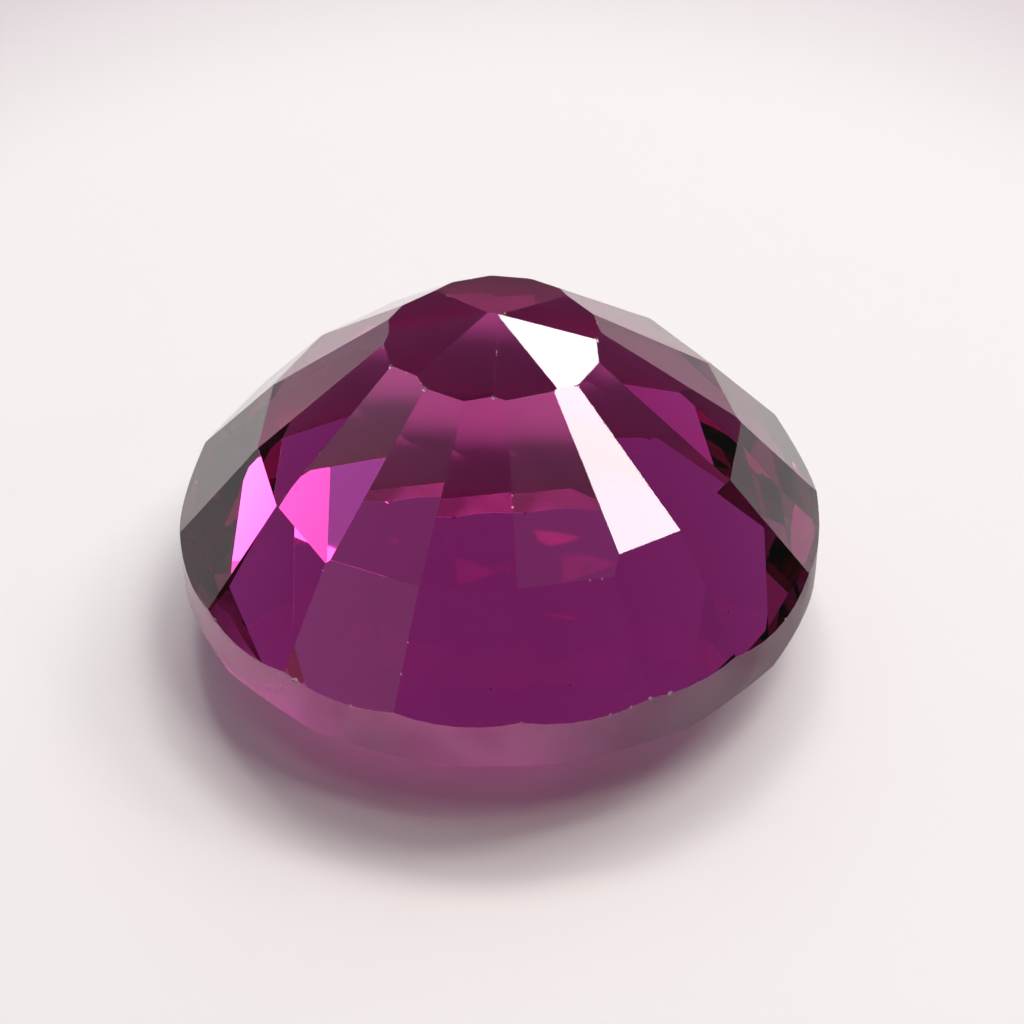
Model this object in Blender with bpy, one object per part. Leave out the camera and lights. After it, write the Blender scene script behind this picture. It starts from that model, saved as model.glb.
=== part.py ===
"""Faceted sapphire: one loose oval stone that lies on its table with the pavilion up.

The stone is cut the way a lapidary cuts it. A round blank is ground flat, facet by facet, one tier
after another, and the finished round stone is then drawn in across its width to the oval outline.
Everything is in metres, +Z up, with the table on z = 0 and the stone's axis on the Z axis. Azimuths
are in degrees, 0 at the front (-Y) and growing towards +X.
"""
import math
from collections import namedtuple

import bmesh
import bpy
from mathutils import Matrix, Vector

# Driving dimensions
LENGTH = 0.0100
WIDTH = 0.0091
CROWN_HEIGHT = 0.00146
GIRDLE_HEIGHT = 0.00096
PAVILION_HEIGHT = 0.00405

RADIUS = LENGTH / 2
GIRDLE_SIDES = 96
GIRDLE_TOP = CROWN_HEIGHT + GIRDLE_HEIGHT
CULET_TOP = GIRDLE_TOP + PAVILION_HEIGHT
BLANK_MARGIN = 0.0005
MERGE_DISTANCE = 1e-7

# Profile of the pavilion along its ridges: distance from the axis, height above the girdle
BREAK_RADIUS = 0.735 * RADIUS
BREAK_RISE = 0.415 * PAVILION_HEIGHT
CAP_RADIUS = 0.315 * RADIUS
CAP_RISE = 0.875 * PAVILION_HEIGHT
CAP_LIFT = 0.00005

# Profile of the crown: the table out to its corners, and the tips of the stars round it
TABLE_RADIUS = 0.613 * RADIUS
STAR_RADIUS = 0.783 * RADIUS
STAR_RISE = 0.31 * CROWN_HEIGHT

# Facets in each tier, and the azimuth of one of its ridges or of one bezel
LONG_COUNT = 16
LONG_RIDGE = 4
CAP_COUNT = 8
CAP_RIDGE = -3
CROWN_COUNT = 8
CROWN_BEZEL = -11

# A slip is what one hand-cut facet is off by: degrees turned, degrees steeper, and the thickness of
# the stone, in thousandths of a millimetre, that was left standing on it
Slip = namedtuple("Slip", "turn tilt left", defaults=(0, 0, 0))
THOUSANDTH = 1e-6

LOWER_SLIPS = {
    0: Slip(-0.5, -0.75, 40),
    1: Slip(-1.5, -0.75, 55),
    2: Slip(-0.75, 1.25, -5),
    3: Slip(-0.25, 0.5, -10),
    4: Slip(0, 0, -15),
    11: Slip(0.5, 1, -35),
    12: Slip(0.5, 1, -10),
    13: Slip(-1.5, 0.5, 15),
    14: Slip(0.25, -1, 35),
    15: Slip(-0.5, -1, 40),
}
LONG_SLIPS = {
    0: Slip(0.25, -0.25, 10),
    1: Slip(-0.25, -0.5, 50),
    2: Slip(0.25, -0.25, 20),
    3: Slip(0.75, 0, -10),
    4: Slip(-0.5, 0, -10),
    5: Slip(-1, -0.5, -20),
    10: Slip(0.25, 1.75, 35),
    11: Slip(0.5, 2, 30),
    12: Slip(1.25, 1.25, 30),
    13: Slip(0.25, 0.25),
    14: Slip(-0.5, 0, -5),
    15: Slip(-1, -0.25, 5),
}
CAP_SLIPS = {
    0: Slip(-5.25, -1, -5),
    1: Slip(-2, 0, -20),
    2: Slip(0, 0.25, -20),
    3: Slip(-0.25, 0, -20),
    4: Slip(-0.25, -0.5, 5),
    5: Slip(-0.25, 0.5, 10),
    6: Slip(0.5, 0.75, -5),
    7: Slip(-5.75, 0, -25),
}
STAR_SLIPS = {
    4: Slip(-4, 0, 20),
}

CORUNDUM_COLOR = (0.32, 0.04, 0.24, 1.0)
CORUNDUM_IOR = 1.77


def clear_scene():
    """Removes what the file holds, so that the script starts from an empty scene."""
    for item in list(bpy.data.objects):
        bpy.data.objects.remove(item, do_unlink=True)


def corundum():
    """Returns the clear purplish pink material of the whole stone."""
    material = bpy.data.materials.new("corundum")
    material.use_nodes = True
    shader = material.node_tree.nodes["Principled BSDF"]
    shader.inputs["Base Color"].default_value = CORUNDUM_COLOR
    shader.inputs["Roughness"].default_value = 0.02
    shader.inputs["Metallic"].default_value = 0.0
    shader.inputs["IOR"].default_value = CORUNDUM_IOR
    shader.inputs["Transmission Weight"].default_value = 1.0
    material.diffuse_color = CORUNDUM_COLOR
    return material


def grind(stone, point, normal):
    """Takes away all that lies past a plane, and closes the cut with one flat facet."""
    everything = stone.verts[:] + stone.edges[:] + stone.faces[:]
    cut = bmesh.ops.bisect_plane(
        stone, geom=everything, dist=MERGE_DISTANCE, plane_co=point, plane_no=normal, clear_outer=True
    )
    rim = [item for item in cut["geom_cut"] if isinstance(item, bmesh.types.BMEdge)]
    if len(rim) > 2:
        bmesh.ops.contextual_create(stone, geom=rim)


def facet_plane(azimuth, outer, inner, slip):
    """Returns a point and the outward normal of a facet that passes outer and inner.

    outer and inner are (radius, z) on the facet's own azimuth.
    """
    rise = inner[1] - outer[1]
    slope = math.atan2(abs(rise), outer[0] - inner[0]) + math.radians(slip.tilt)
    heading = azimuth + math.radians(slip.turn)
    outward = Vector((math.sin(heading), -math.cos(heading), 0.0))
    upward = Vector((0.0, 0.0, math.copysign(1.0, rise)))
    normal = outward * math.sin(slope) + upward * math.cos(slope)
    middle = outward * ((outer[0] + inner[0]) / 2)
    middle.z = (outer[1] + inner[1]) / 2
    return middle + normal * (slip.left * THOUSANDTH), normal


def grind_tier(stone, count, first, outer, inner, slips=None):
    """Cuts one tier of count facets, the first of them at the azimuth first."""
    for number in range(count):
        azimuth = math.radians(first + number * 360 / count)
        slip = (slips or {}).get(number, Slip())
        point, normal = facet_plane(azimuth, outer, inner, slip)
        grind(stone, point, normal)


def grind_between_ridges(stone, count, ridge, outer, inner, slips=None):
    """Cuts one tier whose ridges pass outer and inner, one of them at the azimuth ridge."""
    half_step = 180 / count
    across = math.cos(math.radians(half_step))
    outer = (outer[0] * across, outer[1])
    inner = (inner[0] * across, inner[1])
    grind_tier(stone, count, ridge + half_step, outer, inner, slips)


def round_blank():
    """Returns the round rod that the stone is cut from, taller than the stone at both ends."""
    height = CULET_TOP + 2 * BLANK_MARGIN
    blank = bmesh.new()
    bmesh.ops.create_cone(
        blank,
        cap_ends=True,
        segments=GIRDLE_SIDES,
        radius1=RADIUS,
        radius2=RADIUS,
        depth=height,
        matrix=Matrix.Translation((0.0, 0.0, CULET_TOP / 2)),
    )
    return blank


def cut_pavilion(stone):
    """Cuts the pavilion: steep facets off the girdle, long facets above them, and the culet cap."""
    girdle = (RADIUS, GIRDLE_TOP)
    tier_break = (BREAK_RADIUS, GIRDLE_TOP + BREAK_RISE)
    cap_ring = (CAP_RADIUS, GIRDLE_TOP + CAP_RISE)
    cap_edge = (CAP_RADIUS, GIRDLE_TOP + CAP_RISE + CAP_LIFT)
    culet = (0.0, CULET_TOP)
    grind_between_ridges(stone, LONG_COUNT, LONG_RIDGE, girdle, tier_break, LOWER_SLIPS)
    grind_between_ridges(stone, LONG_COUNT, LONG_RIDGE, tier_break, cap_ring, LONG_SLIPS)
    grind_between_ridges(stone, CAP_COUNT, CAP_RIDGE, cap_edge, culet, CAP_SLIPS)


def cut_crown(stone):
    """Cuts the side that lies face down: the table, girdle halves, bezels and stars."""
    grind(stone, Vector((0.0, 0.0, 0.0)), Vector((0.0, 0.0, -1.0)))
    half_step = 180 / CROWN_COUNT
    girdle = (RADIUS, CROWN_HEIGHT)
    star_tip = (STAR_RADIUS, STAR_RISE)
    table_corner = (TABLE_RADIUS, 0.0)
    table_edge = (TABLE_RADIUS * math.cos(math.radians(half_step)), 0.0)
    grind_between_ridges(stone, 2 * CROWN_COUNT, CROWN_BEZEL, girdle, star_tip)
    grind_tier(stone, CROWN_COUNT, CROWN_BEZEL, girdle, table_corner)
    grind_tier(stone, CROWN_COUNT, CROWN_BEZEL + half_step, star_tip, table_edge, STAR_SLIPS)


def sapphire():
    """Models the stone and returns its object."""
    stone = round_blank()
    cut_pavilion(stone)
    cut_crown(stone)
    bmesh.ops.scale(stone, vec=(1.0, WIDTH / LENGTH, 1.0), verts=stone.verts)
    bmesh.ops.remove_doubles(stone, verts=stone.verts, dist=MERGE_DISTANCE)
    bmesh.ops.recalc_face_normals(stone, faces=stone.faces)
    mesh = bpy.data.meshes.new("sapphire")
    stone.to_mesh(mesh)
    stone.free()
    mesh.materials.append(corundum())
    return bpy.data.objects.new("sapphire", mesh)


def main():
    """Builds the stone in a collection of its own."""
    clear_scene()
    collection = bpy.data.collections.new("faceted sapphire")
    bpy.context.scene.collection.children.link(collection)
    collection.objects.link(sapphire())


main()
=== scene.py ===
"""Looks of the faceted sapphire: a loose oval stone that lies on its table on pale paper.

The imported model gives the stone's form. This script copies it, wears and chips its facet edges,
dresses it as clear purplish pink corundum, and sets it on a plain pale floor under soft lamps, seen
from the photograph's angle. Lengths are in metres unless a name says otherwise.
"""

import logging
import math
import random
from dataclasses import dataclass
from enum import Enum

import bpy
from mathutils import Matrix, Vector

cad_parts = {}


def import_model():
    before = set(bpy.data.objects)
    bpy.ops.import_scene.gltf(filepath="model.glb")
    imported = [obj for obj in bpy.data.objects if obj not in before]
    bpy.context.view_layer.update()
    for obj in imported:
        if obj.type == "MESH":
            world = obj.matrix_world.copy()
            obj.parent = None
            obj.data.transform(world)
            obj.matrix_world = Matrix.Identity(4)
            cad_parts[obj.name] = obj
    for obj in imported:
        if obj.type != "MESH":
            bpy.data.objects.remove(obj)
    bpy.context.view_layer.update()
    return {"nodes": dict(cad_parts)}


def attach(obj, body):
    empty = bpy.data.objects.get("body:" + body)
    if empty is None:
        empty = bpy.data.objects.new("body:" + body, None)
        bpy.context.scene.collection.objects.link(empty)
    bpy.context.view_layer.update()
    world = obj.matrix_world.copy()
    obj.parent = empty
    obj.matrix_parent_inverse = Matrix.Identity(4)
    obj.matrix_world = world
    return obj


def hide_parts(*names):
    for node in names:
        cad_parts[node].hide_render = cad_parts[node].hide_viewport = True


LOG = logging.getLogger("sapphire")

NODE = "sapphire"
BODY = "root"

MILLIMETRE = 0.001
MICRON = 1e-6

# Height of the girdle's upper edge over the table
GIRDLE_TOP = 0.00242

FINISH_ATTRIBUTE = "surface_finish"
KINDS = ("Polished", "Ground", "Bruised")

# Between these values of the haze's noise a surface goes from its smoothest to its roughest
HAZE_RANGE = (0.42, 0.72)
HAZE_DETAIL = 2.0


class Surface(Enum):
    """The kinds of surface on the stone, as the mesh attribute that tells them apart holds them."""

    POLISHED = 0.0
    RUBBED = 0.125
    GROUND = 1.0
    BRUISED = 2.0

    @classmethod
    def on_girdle(cls, value: float) -> bool:
        """Tells whether a face belongs to the girdle.

        Args:
            value: what the attribute says of the face.

        Returns:
            True from the rubbed to the fully ground finish.
        """
        return cls.RUBBED.value <= value <= cls.GROUND.value


@dataclass(frozen=True)
class Absorption:
    """How strongly the crystal takes up light, per millimetre of path.

    Attributes:
        red: absorption of red light.
        green: absorption of green light.
        blue: absorption of blue light.
        headroom: how much denser than the strongest of them the shader's density is set.
    """

    red: float = 0.092
    green: float = 0.375
    blue: float = 0.172
    headroom: float = 1.02

    def density(self) -> float:
        """Returns the density for the absorption shader, per metre."""
        return max(self.red, self.green, self.blue) / MILLIMETRE * self.headroom

    def color(self) -> tuple[float, float, float, float]:
        """Returns the colour that gives each channel its own absorption at that density."""
        density = self.density() * MILLIMETRE
        return (1 - self.red / density, 1 - self.green / density, 1 - self.blue / density, 1.0)


@dataclass(frozen=True)
class CorundumFinish:
    """The clear crystal, with its polished, ground and bruised surfaces.

    The stone is one solid of one crystal, so light that goes in through a polished facet has to
    find the same material where it comes out through the ground girdle. An attribute of the mesh
    says how each face is finished.

    Attributes:
        name: name of the material.
        polished: roughness of the cleanest and of the haziest places on the facets.
        ground: roughness of the smoothest and of the roughest places on the girdle.
        bruised: roughness of the smoothest and of the roughest places in the chips.
        haze_scale: how many patches of haze there are in a metre.
        crushed_ior: how strongly the crushed layer in the chips throws light back, as a coat's IOR.
        crushed_haze: roughness of that layer.
        ior: how strongly the crystal bends light.
        absorption: how the crystal takes up light.
    """

    name: str = "pink_corundum"
    polished: tuple[float, float] = (0.0, 0.015)
    ground: tuple[float, float] = (0.42, 0.68)
    bruised: tuple[float, float] = (0.12, 0.30)
    haze_scale: float = 900.0
    crushed_ior: float = 3.6
    crushed_haze: float = 0.55
    ior: float = 1.77
    absorption: Absorption = Absorption()

    def build(self) -> bpy.types.Material:
        """Makes the material.

        Returns:
            A see-through material with plain transmission, IOR and absorption values.
        """
        material = bpy.data.materials.new(self.name)
        material.use_nodes = True
        tree = material.node_tree
        shader = tree.nodes["Principled BSDF"]
        shader.inputs["Base Color"].default_value = (1.0, 1.0, 1.0, 1.0)
        shader.inputs["IOR"].default_value = self.ior
        shader.inputs["Transmission Weight"].default_value = 1.0
        inside = tree.nodes.new("ShaderNodeVolumeAbsorption")
        inside.inputs["Color"].default_value = self.absorption.color()
        inside.inputs["Density"].default_value = self.absorption.density()
        output = tree.nodes["Material Output"]
        tree.links.new(inside.outputs["Volume"], output.inputs["Volume"])
        finish = tree.nodes.new("ShaderNodeAttribute")
        finish.attribute_name = FINISH_ATTRIBUTE
        texture = tree.nodes.new("ShaderNodeGroup")
        texture.node_tree = worn_surface_group()
        tree.links.new(finish.outputs["Fac"], texture.inputs["Finish"])
        for label, span in zip(KINDS, (self.polished, self.ground, self.bruised)):
            texture.inputs[label + " Low"].default_value = span[0]
            texture.inputs[label + " High"].default_value = span[1]
        texture.inputs["Haze Scale"].default_value = self.haze_scale
        shader.inputs["Coat IOR"].default_value = self.crushed_ior
        shader.inputs["Coat Roughness"].default_value = self.crushed_haze
        tree.links.new(texture.outputs["Roughness"], shader.inputs["Roughness"])
        tree.links.new(texture.outputs["Bruise"], shader.inputs["Coat Weight"])
        return material


def worn_surface_group() -> bpy.types.NodeTree:
    """Returns the node group that turns a kind of surface into its haze.

    Returns:
        A group that takes the finish of a face and puts out its roughness and how bruised it is.
    """
    name = "worn_surface"
    if name in bpy.data.node_groups:
        return bpy.data.node_groups[name]
    group = bpy.data.node_groups.new(name, "ShaderNodeTree")
    spans = [kind + side for kind in KINDS for side in (" Low", " High")]
    for label in ["Finish", *spans, "Haze Scale"]:
        group.interface.new_socket(label, in_out="INPUT", socket_type="NodeSocketFloat")
    for label in ("Roughness", "Bruise"):
        group.interface.new_socket(label, in_out="OUTPUT", socket_type="NodeSocketFloat")
    nodes, links = group.nodes, group.links
    entry = nodes.new("NodeGroupInput")
    leave = nodes.new("NodeGroupOutput")
    place = nodes.new("ShaderNodeTexCoord")
    haze = nodes.new("ShaderNodeTexNoise")
    haze.inputs["Detail"].default_value = HAZE_DETAIL
    links.new(place.outputs["Object"], haze.inputs["Vector"])
    links.new(entry.outputs["Haze Scale"], haze.inputs["Scale"])
    spreads = []
    for kind in KINDS:
        spread = nodes.new("ShaderNodeMapRange")
        spread.inputs["From Min"].default_value = HAZE_RANGE[0]
        spread.inputs["From Max"].default_value = HAZE_RANGE[1]
        links.new(haze.outputs["Fac"], spread.inputs["Value"])
        links.new(entry.outputs[kind + " Low"], spread.inputs["To Min"])
        links.new(entry.outputs[kind + " High"], spread.inputs["To Max"])
        spreads.append(spread)
    masks = []
    for kind in (Surface.GROUND, Surface.BRUISED):
        mask = nodes.new("ShaderNodeMapRange")
        mask.inputs["From Min"].default_value = kind.value - 1.0
        mask.inputs["From Max"].default_value = kind.value
        links.new(entry.outputs["Finish"], mask.inputs["Value"])
        masks.append(mask)
    result = spreads[0].outputs["Result"]
    for mask, spread in zip(masks, spreads[1:]):
        blend = nodes.new("ShaderNodeMix")
        blend.data_type = "FLOAT"
        links.new(mask.outputs["Result"], blend.inputs["Factor"])
        links.new(result, blend.inputs["A"])
        links.new(spread.outputs["Result"], blend.inputs["B"])
        result = blend.outputs["Result"]
    links.new(result, leave.inputs["Roughness"])
    links.new(masks[1].outputs["Result"], leave.inputs["Bruise"])
    return group


STONE_FINISH = CorundumFinish()


def deselect_all() -> None:
    """Leaves object mode with nothing selected."""
    if bpy.context.object and bpy.context.object.mode != "OBJECT":
        bpy.ops.object.mode_set(mode="OBJECT")
    bpy.ops.object.select_all(action="DESELECT")


def make_active(piece: bpy.types.Object) -> None:
    """Makes one object the only selected and the active one.

    Args:
        piece: the object to work on.
    """
    deselect_all()
    piece.select_set(True)
    bpy.context.view_layer.objects.active = piece


class Rim(Enum):
    """The sharp edges that carry nicks."""

    GIRDLE_TOP = "upper edge of the girdle"
    GIRDLE_FOOT = "lower edge of the girdle"
    CAP = "corners of the cap"
    RIDGE = "ridges between the pavilion's facets"


@dataclass(frozen=True)
class Nick:
    """One small chip out of an edge.

    Attributes:
        rim: the edge that it is in.
        turn: degrees round the stone, from the front towards +X.
        size: radius of the bite.
    """

    rim: Rim
    turn: float
    size: float


SEEN_NICKS = (
    Nick(Rim.GIRDLE_TOP, 33.5, 75 * MICRON),
    Nick(Rim.GIRDLE_TOP, 29.5, 50 * MICRON),
    Nick(Rim.GIRDLE_TOP, 27.0, 45 * MICRON),
    Nick(Rim.GIRDLE_TOP, 23.0, 45 * MICRON),
    Nick(Rim.GIRDLE_TOP, 20.0, 40 * MICRON),
    Nick(Rim.GIRDLE_TOP, 3.5, 35 * MICRON),
    Nick(Rim.GIRDLE_TOP, -23.0, 40 * MICRON),
    Nick(Rim.GIRDLE_TOP, -28.0, 45 * MICRON),
    Nick(Rim.GIRDLE_TOP, -41.0, 95 * MICRON),
    Nick(Rim.GIRDLE_TOP, -62.0, 50 * MICRON),
    Nick(Rim.GIRDLE_TOP, 62.0, 50 * MICRON),
    Nick(Rim.GIRDLE_FOOT, 48.0, 65 * MICRON),
    Nick(Rim.GIRDLE_FOOT, 30.0, 50 * MICRON),
    Nick(Rim.GIRDLE_FOOT, 24.0, 40 * MICRON),
    Nick(Rim.GIRDLE_FOOT, 20.5, 40 * MICRON),
    Nick(Rim.GIRDLE_FOOT, 17.0, 40 * MICRON),
    Nick(Rim.GIRDLE_FOOT, -20.0, 40 * MICRON),
    Nick(Rim.CAP, -3.0, 40 * MICRON),
    Nick(Rim.CAP, -45.0, 45 * MICRON),
    Nick(Rim.CAP, -70.0, 50 * MICRON),
    Nick(Rim.CAP, 45.0, 35 * MICRON),
    Nick(Rim.CAP, 88.0, 50 * MICRON),
)


# The nicks that the photograph doesn't show lie within this many degrees of the back, and their
# radii, in micrometres, lie between these two
HIDDEN_SIDE = 105
HIDDEN_SIZE = (30, 55)
NICK_SEED = 7

# Into how many steps each ridge is divided for the places of its specks
RIDGE_STEPS = 16

# How far outside its corner a bite's middle lies, in radii, and how unevenly the bite is stretched
BITE_OFFSET = 0.45
BITE_STRETCH = (0.6, 1.15)


@dataclass
class CutStone:
    """The whole stone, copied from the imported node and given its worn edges.

    Attributes:
        node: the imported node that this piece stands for.
        wear: width of the worn strip along each facet edge.
        wear_faces: how many faces lie across that strip.
        merge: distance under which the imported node's loose corners are one.
        flat_angle: angle, in degrees, under which neighbouring faces are one facet.
        edge_angle: angle, in degrees, over which an edge is worn.
        least_facet: area over which a face is a facet and not a strip of worn edge.
        hidden_nicks: how many nicks there are round the sides that the photograph doesn't show.
        ridge_specks: how many specks of wear there are along the pavilion's ridges.
        speck: radius of the smallest and of the largest of them.
        rubbed: turns from the front, in degrees, of the middles of the smoother stretches of
            girdle.
        rubbed_reach: half the width of such a stretch, in degrees.
        rubbed_fade: over how many more degrees the finish goes back to fully ground.
        upright: how far from level a girdle face's normal may lean, as its Z part.
        cap_lean: the least Z part of the normal of a facet of the cap.
        cap_depth: how far under the keel the cap's outer corners lie at least.
    """

    node: bpy.types.Object
    wear: float = 16 * MICRON
    wear_faces: int = 2
    merge: float = 0.1 * MICRON
    flat_angle: float = 0.4
    edge_angle: float = 7.0
    least_facet: float = 0.05 * MILLIMETRE**2
    hidden_nicks: int = 22
    ridge_specks: int = 56
    speck: tuple[float, float] = (11 * MICRON, 24 * MICRON)
    rubbed: tuple[float, ...] = (-72.0, 112.0)
    rubbed_reach: float = 15.0
    rubbed_fade: float = 28.0
    upright: float = 0.05
    cap_lean: float = 0.9
    cap_depth: float = 0.2 * MILLIMETRE

    def build(self) -> bpy.types.Object:
        """Makes the dressed stone and ties it to the frame.

        Returns:
            The finished object.
        """
        piece = self.copy_node()
        self.join_facets(piece)
        self.dress(piece)
        places = self.rim_places(piece)
        self.wear_edges(piece)
        self.chip(piece, places)
        self.steady_normals(piece)
        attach(piece, BODY)
        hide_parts(NODE)
        return piece

    def copy_node(self) -> bpy.types.Object:
        """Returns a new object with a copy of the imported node's mesh."""
        mesh = self.node.data.copy()
        mesh.name = "cut_stone"
        mesh.materials.clear()
        piece = bpy.data.objects.new("cut_stone", mesh)
        bpy.context.scene.collection.objects.link(piece)
        return piece

    def join_facets(self, piece: bpy.types.Object) -> None:
        """Merges the loose triangles and turns each flat facet into one face.

        Args:
            piece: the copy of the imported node.
        """
        make_active(piece)
        bpy.ops.object.mode_set(mode="EDIT")
        bpy.ops.mesh.select_mode(type="VERT")
        bpy.ops.mesh.select_all(action="SELECT")
        bpy.ops.mesh.customdata_custom_splitnormals_clear()
        bpy.ops.mesh.remove_doubles(threshold=self.merge)
        bpy.ops.mesh.dissolve_limited(angle_limit=math.radians(self.flat_angle))
        bpy.ops.mesh.normals_make_consistent(inside=False)
        bpy.ops.object.mode_set(mode="OBJECT")

    def dress(self, piece: bpy.types.Object) -> None:
        """Gives the stone its crystal, the facets their polish and the girdle its ground finish.

        Args:
            piece: the stone, one face to a facet.
        """
        piece.data.materials.append(STONE_FINISH.build())
        finish = piece.data.attributes.new(FINISH_ATTRIBUTE, "FLOAT", "FACE")
        for face in piece.data.polygons:
            face.material_index = 0
            if abs(face.normal.z) > self.upright:
                continue
            turn = math.degrees(math.atan2(face.center.x, -face.center.y))
            away = min(abs(turn - middle) for middle in self.rubbed)
            share = min(1.0, max(0.0, (away - self.rubbed_reach) / self.rubbed_fade))
            span = Surface.GROUND.value - Surface.RUBBED.value
            finish.data[face.index].value = Surface.RUBBED.value + span * share

    def wear_edges(self, piece: bpy.types.Object) -> None:
        """Rounds every facet edge a little.

        Args:
            piece: the stone.
        """
        make_active(piece)
        bevel = piece.modifiers.new("worn edges", "BEVEL")
        bevel.width = self.wear
        bevel.segments = self.wear_faces
        bevel.limit_method = "ANGLE"
        bevel.angle_limit = math.radians(self.edge_angle)
        bpy.ops.object.modifier_apply(modifier=bevel.name)
        bpy.ops.object.shade_smooth()

    def rim_places(self, piece: bpy.types.Object) -> dict[Rim, list[Vector]]:
        """Finds the corners along the rims, while they are still sharp.

        Args:
            piece: the stone before its edges are worn.

        Returns:
            For each rim, the places of its corners.
        """
        mesh = piece.data
        finish = mesh.attributes[FINISH_ATTRIBUTE].data
        top = max(corner[2] for corner in piece.bound_box)
        places: dict[Rim, list[Vector]] = {rim: [] for rim in Rim}
        for face in mesh.polygons:
            for index in face.vertices:
                place = mesh.vertices[index].co.copy()
                if Surface.on_girdle(finish[face.index].value):
                    rim = Rim.GIRDLE_TOP if place.z > face.center.z else Rim.GIRDLE_FOOT
                    places[rim].append(place)
                elif face.normal.z > self.cap_lean and place.z < top - self.cap_depth:
                    places[Rim.CAP].append(place)
        places[Rim.RIDGE] = self.ridge_places(mesh)
        return places

    def ridge_places(self, mesh: bpy.types.Mesh) -> list[Vector]:
        """Finds places along the ridges between the pavilion's facets.

        Args:
            mesh: the stone's mesh before its edges are worn.

        Returns:
            Places at even steps along each ridge.
        """
        finish = mesh.attributes[FINISH_ATTRIBUTE].data
        sides: dict[tuple[int, int], list[Vector]] = {}
        for face in mesh.polygons:
            if finish[face.index].value == Surface.POLISHED.value and face.center.z > GIRDLE_TOP:
                for key in face.edge_keys:
                    sides.setdefault(key, []).append(face.normal.copy())
        places = []
        for (start, end), normals in sides.items():
            if len(normals) < 2 or normals[0].angle(normals[1]) < math.radians(self.edge_angle):
                continue
            first, last = mesh.vertices[start].co, mesh.vertices[end].co
            for step in range(1, RIDGE_STEPS):
                places.append(first.lerp(last, step / RIDGE_STEPS))
        return places

    def chip(self, piece: bpy.types.Object, places: dict[Rim, list[Vector]]) -> None:
        """Bites the small nicks out of the rims.

        Args:
            piece: the stone with its worn edges.
            places: the corners along each rim.
        """
        chance = random.Random(NICK_SEED)
        nicks = list(SEEN_NICKS)
        for _ in range(self.hidden_nicks):
            rim = chance.choice((Rim.GIRDLE_TOP, Rim.GIRDLE_FOOT, Rim.GIRDLE_TOP, Rim.CAP))
            turn = 180 + chance.uniform(-HIDDEN_SIDE, HIDDEN_SIDE)
            nicks.append(Nick(rim, turn, chance.uniform(*HIDDEN_SIZE) * MICRON))
        bites = []
        for nick in nicks:
            wanted = Vector((math.sin(math.radians(nick.turn)), -math.cos(math.radians(nick.turn))))
            place = max(places[nick.rim], key=lambda spot: wanted.dot(spot.xy.normalized()))
            surface = Surface.GROUND if nick.rim is Rim.GIRDLE_FOOT else Surface.BRUISED
            bites.append(self.bite(place, nick.size, surface, chance))
        for place in chance.sample(places[Rim.RIDGE], self.ridge_specks):
            size = chance.uniform(*self.speck)
            bites.append(self.bite(place, size, Surface.BRUISED, chance))
        make_active(bites[0])
        for bite in bites:
            bite.select_set(True)
        bpy.ops.object.join()
        cutter = bpy.context.object
        make_active(piece)
        cut = piece.modifiers.new("nicks", "BOOLEAN")
        cut.operation = "DIFFERENCE"
        cut.solver = "EXACT"
        cut.use_self = True
        cut.object = cutter
        bpy.ops.object.modifier_apply(modifier=cut.name)
        bpy.data.objects.remove(cutter)

    def bite(
        self, place: Vector, size: float, surface: Surface, chance: random.Random
    ) -> bpy.types.Object:
        """Makes the lump that bites one nick out of a rim.

        Args:
            place: the corner that the nick is in.
            size: its radius.
            surface: the finish that it leaves behind.
            chance: where its turn and its unevenness come from.

        Returns:
            The lump, marked with that finish all over.
        """
        deselect_all()
        outward = Vector((place.x, place.y, 0.0)).normalized()
        middle = place + outward * size * BITE_OFFSET
        bpy.ops.mesh.primitive_ico_sphere_add(subdivisions=2, radius=size, location=middle)
        lump = bpy.context.object
        lump.rotation_euler = [chance.uniform(0, math.tau) for _ in range(3)]
        lump.scale = [chance.uniform(*BITE_STRETCH) for _ in range(3)]
        bpy.ops.object.transform_apply(location=True, rotation=True, scale=True)
        finish = lump.data.attributes.new(FINISH_ATTRIBUTE, "FLOAT", "FACE")
        for value in finish.data:
            value.value = surface.value
        return lump

    def steady_normals(self, piece: bpy.types.Object) -> None:
        """Keeps each facet flat to the light and the girdle an even curve beside the worn strips.

        Args:
            piece: the stone with its worn edges.
        """
        mesh = piece.data
        half = [max(abs(corner[axis]) for corner in piece.bound_box) for axis in range(2)]
        finish = mesh.attributes[FINISH_ATTRIBUTE].data
        directions = [corner.vector.copy() for corner in mesh.corner_normals]
        for face in mesh.polygons:
            if face.area < self.least_facet and finish[face.index].value != Surface.BRUISED.value:
                continue
            for corner in face.loop_indices:
                directions[corner] = face.normal.copy()
                if Surface.on_girdle(finish[face.index].value):
                    place = mesh.vertices[mesh.loops[corner].vertex_index].co
                    around = Vector((place.x / half[0] ** 2, place.y / half[1] ** 2, 0.0))
                    directions[corner] = around.normalized()
        mesh.normals_split_custom_set(directions)


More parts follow.
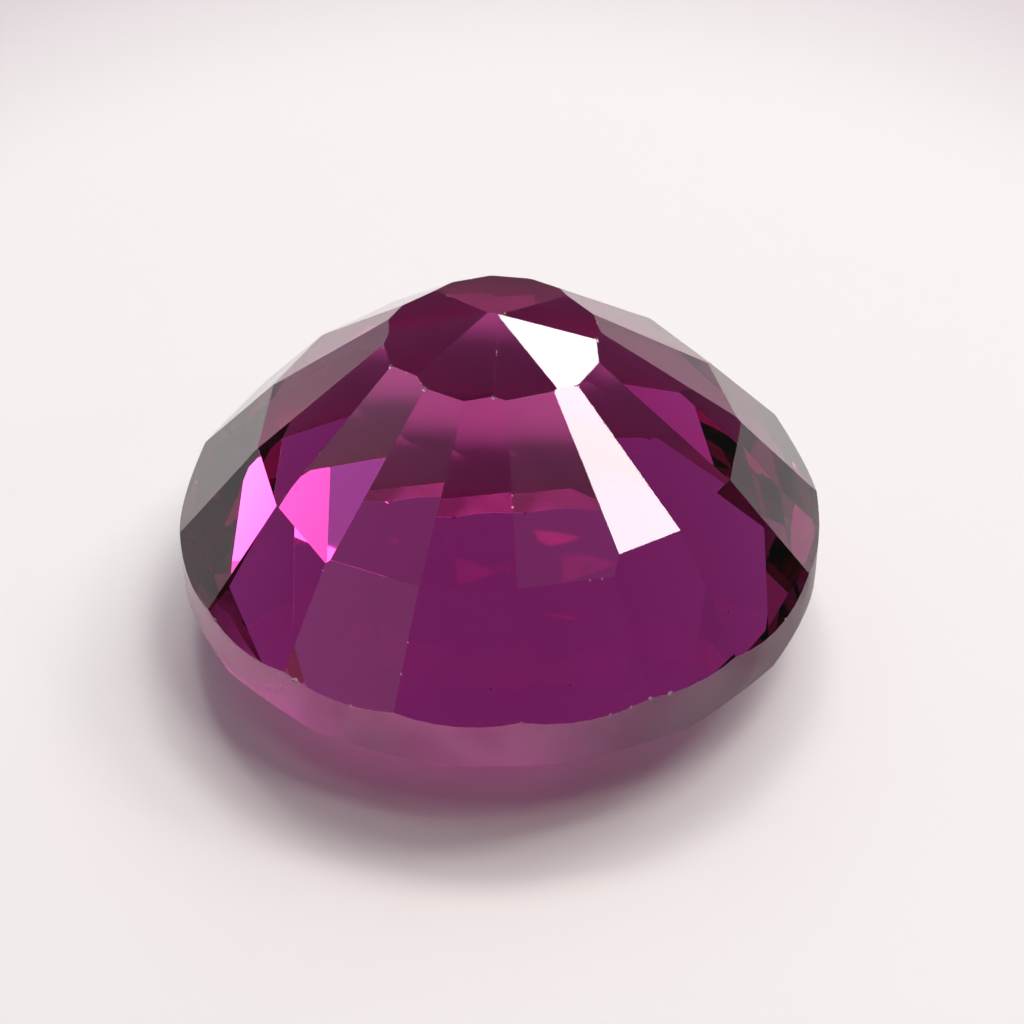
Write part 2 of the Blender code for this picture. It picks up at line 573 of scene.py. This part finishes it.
@dataclass
class PaperFloor:
    """The plain pale sheet that the stone lies on.

    Attributes:
        side: length of its side.
        gap: air between it and the stone's table.
        near: its colour beside the stone.
        far: painted shade, the darker colour that it is given away from the stone.
        shade_reach: distances from the stone's axis between which it goes from its own colour to the
            painted shade.
        roughness: how matte it is.
        gloss: how much it shines.
        tooth_scale: how many bumps of its tooth there are in a metre.
        tooth_detail: how many finer bumps lie on those.
        tooth_height: height of those bumps.
        tooth_strength: share of that height that the light meets.
    """

    side: float = 1.2
    gap: float = 20 * MICRON
    near: tuple[float, float, float, float] = (0.90, 0.85, 0.83, 1.0)
    # Painted shade: the darker colour that the paper is given away from the stone
    far: tuple[float, float, float, float] = (0.64, 0.55, 0.58, 1.0)
    shade_reach: tuple[float, float] = (0.0135, 0.023)
    roughness: float = 0.9
    gloss: float = 0.2
    tooth_scale: float = 2500.0
    tooth_detail: float = 3.0
    tooth_height: float = 12 * MICRON
    tooth_strength: float = 0.6

    def build(self) -> bpy.types.Object:
        """Makes the floor."""
        deselect_all()
        bpy.ops.mesh.primitive_plane_add(size=self.side, location=(0.0, 0.0, -self.gap))
        floor = bpy.context.object
        floor.name = "floor"
        floor.data.materials.append(self.paper())
        return floor

    def paper(self) -> bpy.types.Material:
        """Returns the matte off-white material, with a faint tooth and with painted shade that
        darkens it away from the stone.
        """
        material = bpy.data.materials.new("paper")
        material.use_nodes = True
        tree = material.node_tree
        shader = tree.nodes["Principled BSDF"]
        shader.inputs["Roughness"].default_value = self.roughness
        shader.inputs["Specular IOR Level"].default_value = self.gloss
        place = tree.nodes.new("ShaderNodeTexCoord")
        # Painted shade: outwards from the stone, the paper's own colour goes over into the darker one
        distance = tree.nodes.new("ShaderNodeVectorMath")
        distance.operation = "LENGTH"
        shade_fade = tree.nodes.new("ShaderNodeMapRange")
        shade_fade.interpolation_type = "SMOOTHSTEP"
        shade_fade.inputs["From Min"].default_value = self.shade_reach[0]
        shade_fade.inputs["From Max"].default_value = self.shade_reach[1]
        shade_blend = tree.nodes.new("ShaderNodeMix")
        shade_blend.data_type = "RGBA"
        shade_blend.inputs["A"].default_value = self.near
        shade_blend.inputs["B"].default_value = self.far
        tree.links.new(place.outputs["Object"], distance.inputs[0])
        tree.links.new(distance.outputs["Value"], shade_fade.inputs["Value"])
        tree.links.new(shade_fade.outputs["Result"], shade_blend.inputs["Factor"])
        tree.links.new(shade_blend.outputs["Result"], shader.inputs["Base Color"])
        tooth = tree.nodes.new("ShaderNodeTexNoise")
        tooth.inputs["Scale"].default_value = self.tooth_scale
        tooth.inputs["Detail"].default_value = self.tooth_detail
        relief = tree.nodes.new("ShaderNodeBump")
        relief.inputs["Distance"].default_value = self.tooth_height
        relief.inputs["Strength"].default_value = self.tooth_strength
        tree.links.new(place.outputs["Object"], tooth.inputs["Vector"])
        tree.links.new(tooth.outputs["Fac"], relief.inputs["Height"])
        tree.links.new(relief.outputs["Normal"], shader.inputs["Normal"])
        return material


@dataclass(frozen=True)
class Window:
    """One soft rectangular lamp, aimed at the stone. Its spans are angles as the stone sees them.

    Attributes:
        name: name of the lamp.
        azimuth: degrees from the front towards +X.
        elevation: degrees above the floor.
        across: its width in degrees.
        up: its height in degrees.
        radiance: brightness of its face.
        color: its colour.
        distance: metres from the stone.
    """

    name: str
    azimuth: float
    elevation: float
    across: float
    up: float
    radiance: float
    color: tuple[float, float, float] = (1.0, 0.98, 0.96)
    distance: float = 0.30

    def build(self, target: Vector) -> bpy.types.Object:
        """Makes the lamp.

        Args:
            target: the point that it faces.

        Returns:
            The lamp's object.
        """
        turn, lift = math.radians(self.azimuth), math.radians(self.elevation)
        level = math.cos(lift)
        away = Vector((math.sin(turn) * level, -math.cos(turn) * level, math.sin(lift)))
        light = bpy.data.lights.new(self.name, "AREA")
        light.shape = "RECTANGLE"
        light.size = 2 * self.distance * math.tan(math.radians(self.across / 2))
        light.size_y = 2 * self.distance * math.tan(math.radians(self.up / 2))
        light.energy = self.radiance * math.pi * light.size * light.size_y
        light.color = self.color
        lamp = bpy.data.objects.new(self.name, light)
        lamp.location = target + away * self.distance
        lamp.rotation_euler = away.to_track_quat("Z", "Y").to_euler()
        bpy.context.scene.collection.objects.link(lamp)
        return lamp


BLUISH = (0.80, 0.90, 1.0)
BLUE = (0.46, 0.53, 1.0)
ROSY = (1.0, 0.95, 0.95)
PINK = (1.0, 0.91, 0.93)

WINDOWS = (
    Window("high_window_1", 55.0, 65.5, 9.5, 11.0, 7.0),
    Window("high_window_2", 105.0, 65.5, 9.5, 11.0, 7.5),
    Window("high_window_3", 128.0, 65.5, 9.5, 11.0, 7.5),
    Window("high_window_4", 151.0, 64.0, 9.5, 10.0, 11.0),
    Window("high_window_5", 174.0, 65.5, 9.5, 11.0, 11.0),
    Window("high_window_6", 197.0, 65.5, 9.5, 11.0, 9.0),
    Window("overhead", 82.0, 76.0, 24.0, 10.0, 5.5),
    Window("overhead_back", 197.0, 74.8, 4.5, 15.0, 12.0),
    Window("right_window", 104.5, 49.5, 8.4, 10.0, 12.0),
    Window("right_window_edge", 118.0, 49.0, 7.9, 9.0, 3.5),
    Window("back_window", 128.5, 50.0, 6.0, 14.0, 6.0),
    Window("back_window_blue", 143.0, 59.0, 7.2, 6.0, 0.9, BLUE),
    Window("low_sky_right", 135.0, 19.0, 30.0, 18.0, 1.6, BLUISH),
    Window("low_sky_back", 178.0, 19.0, 26.0, 18.0, 1.0, BLUISH),
    Window("horizon_back", 180.0, 5.6, 26.0, 6.5, 0.12),
    Window("front_high_glow", 1.3, 69.3, 13.0, 8.0, 3.5),
    Window("left_sky", 263.0, 64.0, 10.0, 10.0, 0.9, BLUISH),
    Window("left_low_glow", 251.0, 8.0, 6.0, 5.0, 0.3),
    Window("left_glow", -92.0, 27.0, 32.0, 14.0, 0.33),
    Window("front_left_glow", -50.0, 22.0, 16.0, 12.0, 0.22),
    Window("front_left_glow_high", -55.5, 40.0, 12.0, 12.0, 0.12),
    Window("front_right_glow", 29.5, 44.5, 8.0, 8.0, 0.12),
    Window("cap_glint", 141.5, 48.5, 3.2, 2.4, 12.0, ROSY),
    Window("long_glint", 68.0, 37.2, 3.2, 4.6, 12.0, PINK),
)


@dataclass
class SkyScreen:
    """A dim bluish screen behind the stone, part of a sphere, that shines through its far facets.

    Attributes:
        radius: metres from the stone.
        columns: how many faces go round the whole sphere.
        rows: how many faces go from its foot to its top.
        turn: degrees from the front to its middle, and its half width.
        lift: degrees above the floor of its lower and upper edge.
        gap: azimuth, elevation and half width, in degrees, of the dark place in it.
        color: colour of its glow.
        radiance: brightness of its glow.
    """

    radius: float = 0.42
    columns: int = 96
    rows: int = 90
    turn: tuple[float, float] = (180.0, 74.0)
    lift: tuple[float, float] = (28.0, 62.0)
    gap: tuple[float, float, float] = (217.5, 43.8, 2.2)
    color: tuple[float, float, float, float] = (0.70, 0.82, 1.0, 1.0)
    radiance: float = 0.64

    def build(self) -> bpy.types.Object:
        """Makes the screen."""
        deselect_all()
        bpy.ops.mesh.primitive_uv_sphere_add(
            segments=self.columns, ring_count=self.rows, radius=self.radius
        )
        screen = bpy.context.object
        screen.name = "sky_screen"
        bpy.ops.object.mode_set(mode="EDIT")
        bpy.ops.mesh.select_mode(type="FACE")
        bpy.ops.mesh.select_all(action="DESELECT")
        bpy.ops.object.mode_set(mode="OBJECT")
        for face in screen.data.polygons:
            face.select = not self.covers(face.center)
        bpy.ops.object.mode_set(mode="EDIT")
        bpy.ops.mesh.delete(type="FACE")
        bpy.ops.object.mode_set(mode="OBJECT")
        screen.data.materials.append(self.glow())
        return screen

    def covers(self, point: Vector) -> bool:
        """Returns whether a point of the sphere lies on the screen.

        Args:
            point: the point, from the sphere's middle.
        """
        azimuth = math.degrees(math.atan2(point.x, -point.y)) % 360
        elevation = math.degrees(math.asin(point.z / point.length))
        across = (azimuth - self.gap[0]) * math.cos(math.radians(elevation))
        if math.hypot(across, elevation - self.gap[1]) < self.gap[2]:
            return False
        return abs(azimuth - self.turn[0]) < self.turn[1] and self.lift[0] < elevation < self.lift[1]

    def glow(self) -> bpy.types.Material:
        """Returns the plain glowing material of the screen."""
        material = bpy.data.materials.new("sky_glow")
        material.use_nodes = True
        material.cycles.emission_sampling = "NONE"
        tree = material.node_tree
        shader = tree.nodes["Principled BSDF"]
        shader.inputs["Base Color"].default_value = (0.0, 0.0, 0.0, 1.0)
        shader.inputs["Specular IOR Level"].default_value = 0.0
        shader.inputs["Emission Color"].default_value = self.color
        shader.inputs["Emission Strength"].default_value = self.radiance
        return material


@dataclass
class PhotoCamera:
    """The camera at the photograph's angle.

    Attributes:
        elevation: degrees above the floor.
        roll: degrees that the picture leans.
        distance: from the stone's axis at the girdle's upper edge.
        focal_px: focal length in pixels of the photograph's frame.
        target_px: where that point of the axis falls in the photograph.
        frame_px: the photograph's side in pixels.
        clip: nearest and farthest distance that it shows.
    """

    elevation: float = 45.0
    roll: float = -0.51
    distance: float = 0.050
    focal_px: float = 3198.0
    target_px: tuple[float, float] = (499.4, 507.6)
    frame_px: float = 1024.0
    clip: tuple[float, float] = (0.001, 10.0)

    def build(self, target: Vector) -> bpy.types.Object:
        """Makes the scene's camera.

        Args:
            target: the point on the stone's axis that it looks at.

        Returns:
            The camera's object.
        """
        lens = bpy.data.cameras.new("photo_camera")
        lens.lens = lens.sensor_width * self.focal_px / self.frame_px
        lens.shift_x = (self.frame_px / 2 - self.target_px[0]) / self.frame_px
        lens.shift_y = (self.target_px[1] - self.frame_px / 2) / self.frame_px
        lens.clip_start, lens.clip_end = self.clip
        camera = bpy.data.objects.new("photo_camera", lens)
        lift = math.radians(self.elevation)
        back = Vector((0.0, -math.cos(lift), math.sin(lift)))
        camera.location = target + back * self.distance
        facing = back.to_track_quat("Z", "Y").to_matrix()
        lean = Matrix.Rotation(math.radians(self.roll), 3, "Z")
        camera.rotation_euler = (facing @ lean).to_euler()
        bpy.context.scene.collection.objects.link(camera)
        bpy.context.scene.camera = camera
        return camera


ROOM_COLOR = (1.0, 0.98, 0.97, 1.0)
ROOM_STRENGTH = 0.035

# How often light may bounce: in all and through the crystal, off polished faces, off paper
CRYSTAL_BOUNCES = 12
MIRROR_BOUNCES = 8
PAPER_BOUNCES = 2


def set_daylight() -> None:
    """Gives the room its dim, even light, and lets light pass the stone's many inner reflections."""
    world = bpy.data.worlds.new("room")
    world.use_nodes = True
    sky = world.node_tree.nodes["Background"]
    sky.inputs["Color"].default_value = ROOM_COLOR
    sky.inputs["Strength"].default_value = ROOM_STRENGTH
    scene = bpy.context.scene
    scene.world = world
    scene.view_settings.view_transform = "Standard"
    scene.cycles.max_bounces = CRYSTAL_BOUNCES
    scene.cycles.transmission_bounces = CRYSTAL_BOUNCES
    scene.cycles.glossy_bounces = MIRROR_BOUNCES
    scene.cycles.diffuse_bounces = PAPER_BOUNCES


def main() -> None:
    """Builds the camera, the stone, its floor, the sky screen and the lamps, then sets the room's
    light, in that order.
    """
    logging.basicConfig(level=logging.INFO, format="%(message)s")
    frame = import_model()
    girdle_top = Vector((0.0, 0.0, GIRDLE_TOP))
    PhotoCamera().build(girdle_top)
    stone = CutStone(frame["nodes"][NODE]).build()
    LOG.info("%s: %d faces", stone.name, len(stone.data.polygons))
    PaperFloor().build()
    SkyScreen().build()
    for window in WINDOWS:
        window.build(girdle_top)
        LOG.info("%s", window.name)
    set_daylight()


if __name__ == "__main__":
    main()
